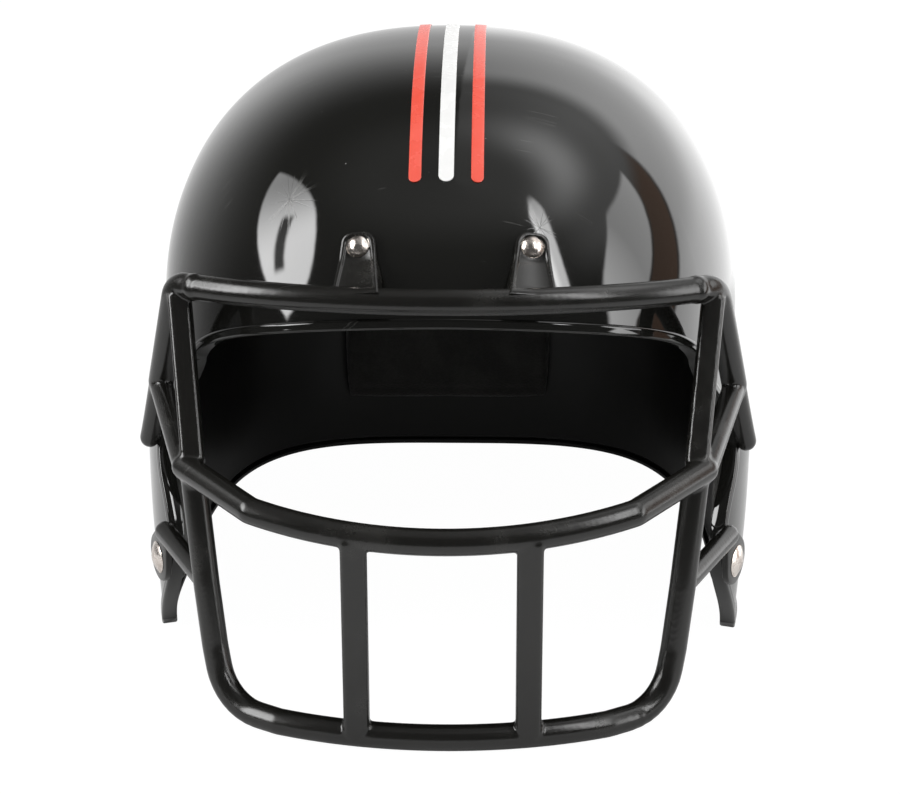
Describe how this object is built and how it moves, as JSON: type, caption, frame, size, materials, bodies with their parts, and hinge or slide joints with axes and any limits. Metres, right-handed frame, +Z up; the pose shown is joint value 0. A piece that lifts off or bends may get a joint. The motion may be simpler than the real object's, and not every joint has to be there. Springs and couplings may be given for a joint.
{
  "type": "football helmet with face guard",
  "caption": "Black football helmet with a riveted black face guard, foam pads inside and red and white crest stripes.",
  "frame": {"origin": "middle of the helmet's footprint, on the plane it stands on", "axes": "+Z up, -Y out of the face opening, +X to the wearer's left"},
  "size_m": [0.2398, 0.3422, 0.2216],
  "materials": {
    "shell_black": "high gloss, lightly scratched",
    "guard_black": "satin moulded plastic",
    "rivet_nickel": "worn nickel",
    "washer_steel": "dull",
    "foam_dark": "fine-grained foam skin",
    "stripe_red": "glossy vinyl",
    "stripe_white": "glossy vinyl"
  },
  "bodies": {
    "root": {"shell": "shell_black", "face_guard": "guard_black", "brow_rivets": "rivet_nickel", "jaw_rivets": "rivet_nickel", "brow_rivet_washers": "washer_steel", "jaw_rivet_washers": "washer_steel", "brow_pad": "foam_dark", "crown_pad": "foam_dark", "nape_pad": "foam_dark", "left_side_pad": "foam_dark", "right_side_pad": "foam_dark", "left_jaw_pad": "foam_dark", "right_jaw_pad": "foam_dark", "left_red_stripe": "stripe_red", "white_stripe": "stripe_white", "right_red_stripe": "stripe_red"}
  },
  "joints": []
}
